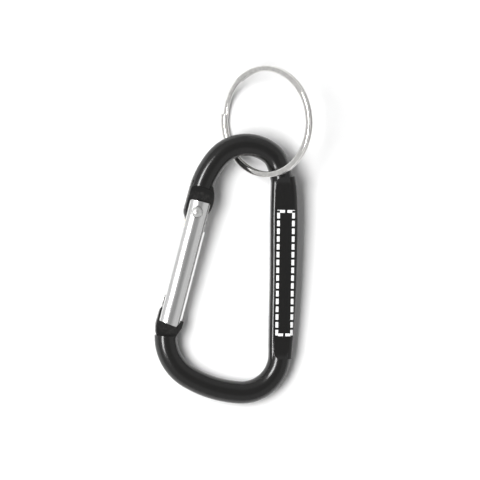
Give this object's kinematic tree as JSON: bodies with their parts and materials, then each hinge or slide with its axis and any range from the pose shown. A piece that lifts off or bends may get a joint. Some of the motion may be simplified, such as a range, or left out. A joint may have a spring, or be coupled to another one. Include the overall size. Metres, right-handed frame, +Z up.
{
  "type": "carabiner keyring",
  "caption": "Small carabiner keyring: a black bent-rod body with a bright sprung gate on a rivet, and a split ring for keys.",
  "frame": {"origin": "on the surface the keyring rests on, under the middle of its bounding box", "axes": "+Y up the spine towards the split ring, +X from the gate side to the spine, +Z up from the surface it rests on"},
  "size_m": [0.0342, 0.075, 0.018],
  "materials": {
    "body_black": "black anodised, smooth and glossy, matt on the coined ends",
    "gate_bright": "bright drawn and lightly polished along its length",
    "rivet_metal": "bright, domed head",
    "spring_steel": "plain spring wire",
    "plunger_brass": "turned",
    "ring_nickel": "nickel plated, bright"
  },
  "bodies": {
    "carabiner": {"carabiner_body": "body_black"},
    "gate": {"gate_sleeve": "gate_bright", "hinge_rivet": "rivet_metal", "gate_spring": "spring_steel"},
    "plunger": {"spring_plunger": "plunger_brass"},
    "ring": {"split_ring": "ring_nickel"}
  },
  "joints": [
    {"name": "gate_hinge", "type": "hinge", "parent": "carabiner", "child": "gate", "pos_m": [-0.00785, 0.00537, 0.00518], "axis": [0.0098, -0.0637, 0.9979], "range_deg": [0, 38], "stiffness_Nm_per_rad": 0.0015, "springref_deg": -28.65},
    {"name": "plunger_slide", "type": "slide", "parent": "gate", "child": "plunger", "axis": [-0.2521, -0.9659, -0.0591], "range_m": [0, 0.0007], "deforming": ["gate_spring"]},
    {"name": "ring_tilt", "type": "hinge", "parent": "carabiner", "child": "ring", "pos_m": [0.00698, 0.01949, 0.00594], "axis": [0, -0.998, -0.0637], "range_deg": [0, 104]}
  ],
  "couplings": [
    {"joint": "plunger_slide", "follows": "gate_hinge", "m_per_rad": 0.00098}
  ]
}
